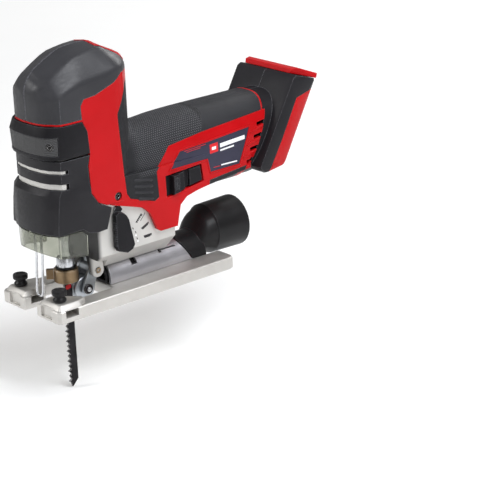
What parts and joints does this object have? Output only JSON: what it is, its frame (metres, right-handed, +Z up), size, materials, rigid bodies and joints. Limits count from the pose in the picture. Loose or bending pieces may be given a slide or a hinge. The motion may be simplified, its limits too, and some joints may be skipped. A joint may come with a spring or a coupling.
{
  "type": "jigsaw power tool",
  "caption": "Barrel-grip cordless jigsaw: upright gear head, slide switch, slotted rear battery foot, bevelling sole with dust spout, T-shank blade and backing roller.",
  "frame": {"origin": "on the underside of the sole, on its centre line, 80 mm behind its front edge", "axes": "+X to the tool's left, +Y back towards the battery foot, +Z up; the blade points down -Z and cuts towards -Y"},
  "size_m": [0.071, 0.2554, 0.2567],
  "materials": {
    "red_plastic": "satin moulded nylon",
    "dark_plastic": "fine-grained moulded nylon",
    "rubber": "matt soft-touch rubber",
    "label": "printed plastic film",
    "clear_plastic": "smoky clear polycarbonate",
    "cast_aluminium": "fine blasted casting",
    "sheet_aluminium": "drawn sheet, satin",
    "steel": "turned and ground",
    "black_steel": "black oxide",
    "bronze": "sintered bronze",
    "copper": "plain copper alloy",
    "circuit_green": "coated circuit board"
  },
  "bodies": {
    "housing": {"shell_left": "red_plastic", "shell_right": "red_plastic", "shell_screw": "black_steel", "grip_left": "rubber", "grip_right": "rubber", "barrel_skin_left": "dark_plastic", "barrel_skin_right": "dark_plastic", "belly_strip": "dark_plastic", "label_left": "label", "label_right": "label", "cap_left": "dark_plastic", "cap_right": "dark_plastic", "cap_plate": "red_plastic", "front_band": "dark_plastic", "band_pad": "rubber", "band_screw": "black_steel", "shroud": "dark_plastic", "foot_left": "dark_plastic", "foot_right": "dark_plastic", "foot_panel_left": "red_plastic", "foot_panel_right": "red_plastic", "foot_rim": "red_plastic", "terminal_block": "dark_plastic", "contact_blades": "copper", "switch_plate": "dark_plastic", "stator": "black_steel", "bearing_front": "steel", "bearing_rear": "steel", "bearing_plate": "dark_plastic", "control_board": "circuit_green", "gear_case": "cast_aluminium", "gear_cover": "cast_aluminium", "gear_axle": "steel", "upper_guide": "bronze", "lower_bushing": "bronze", "guard_wire": "steel", "fork_pivot": "black_steel"},
    "dust_cover": {"clear_cover": "clear_plastic"},
    "switch": {"switch_slider": "dark_plastic"},
    "motor_rotor": {"rotor": "steel", "fan": "dark_plastic"},
    "drive_gear": {"crank_gear": "steel"},
    "balance_weight": {"counterweight": "steel"},
    "stroke_rod": {"plunger": "steel", "clamp_collar": "steel", "blade": "black_steel"},
    "yoke_pin": {"crank_pin": "steel"},
    "clamp_release": {"clamp_ring": "bronze"},
    "pendulum_fork": {"roller_fork": "steel", "roller_pin": "black_steel"},
    "backing_roller": {"roller": "steel"},
    "pendulum_selector": {"pendulum_lever": "dark_plastic"},
    "tilting_sole": {"sole_plate": "cast_aluminium", "saddle": "sheet_aluminium", "suction_duct": "dark_plastic", "bevel_screw": "steel"},
    "thumb_screw_left": {"knob_left": "black_steel"},
    "thumb_screw_right": {"knob_right": "black_steel"},
    "spout": {"dust_spout": "dark_plastic"}
  },
  "joints": [
    {"name": "stroke", "type": "slide", "parent": "housing", "child": "stroke_rod", "axis": [0, 0, 1], "range_m": [0, 0.026]},
    {"name": "yoke_pin_slide", "type": "slide", "parent": "stroke_rod", "child": "yoke_pin", "axis": [1, 0, 0], "range_m": [-0.013, 0.013]},
    {"name": "weight_slide", "type": "slide", "parent": "housing", "child": "balance_weight", "axis": [0, 0, 1], "range_m": [-0.013, 0]},
    {"name": "rotor_spin", "type": "hinge", "parent": "housing", "child": "motor_rotor", "pos_m": [0, 0.04, 0.094], "axis": [0, 1, 0], "continuous": true},
    {"name": "gear_spin", "type": "hinge", "parent": "housing", "child": "drive_gear", "pos_m": [0, -0.032, 0.1156], "axis": [0, 1, 0], "continuous": true},
    {"name": "clamp_twist", "type": "hinge", "parent": "stroke_rod", "child": "clamp_release", "pos_m": [0, -0.047, 0.0214], "axis": [0, 0, 1], "range_deg": [0, 60], "stiffness_Nm_per_rad": 0.03, "springref_deg": -17.19},
    {"name": "pendulum_swing", "type": "hinge", "parent": "housing", "child": "pendulum_fork", "pos_m": [0, -0.027, 0.022], "axis": [1, 0, 0], "range_deg": [-3, 1]},
    {"name": "roller_spin", "type": "hinge", "parent": "pendulum_fork", "child": "backing_roller", "pos_m": [0, -0.0337, 0.008], "axis": [1, 0, 0], "continuous": true},
    {"name": "pendulum_select", "type": "hinge", "parent": "housing", "child": "pendulum_selector", "pos_m": [0.024, -0.015, 0.068], "axis": [1, 0, 0], "range_deg": [0, 45]},
    {"name": "bevel_tilt", "type": "hinge", "parent": "housing", "child": "tilting_sole", "pos_m": [0, 0.015, 0.01], "axis": [0, 1, 0], "range_deg": [-45, 45]},
    {"name": "thumb_screw_left_turn", "type": "hinge", "parent": "tilting_sole", "child": "thumb_screw_left", "pos_m": [0.024, -0.0708, 0.0133], "axis": [0, 0, 1], "continuous": true},
    {"name": "thumb_screw_right_turn", "type": "hinge", "parent": "tilting_sole", "child": "thumb_screw_right", "pos_m": [-0.024, -0.0708, 0.0133], "axis": [0, 0, 1], "continuous": true},
    {"name": "switch_slide", "type": "slide", "parent": "housing", "child": "switch", "axis": [0, -1, 0], "range_m": [0, 0.004]},
    {"name": "spout_pull", "type": "slide", "parent": "tilting_sole", "child": "spout", "axis": [0, 1, 0], "range_m": [0, 0.025]},
    {"name": "cover_pull", "type": "slide", "parent": "housing", "child": "dust_cover", "axis": [0, -1, 0], "range_m": [0, 0.03]}
  ],
  "couplings": [
    {"joint": "weight_slide", "follows": "stroke", "ratio": -0.5},
    {"joint": "gear_spin", "follows": "rotor_spin", "ratio": -0.2}
  ]
}
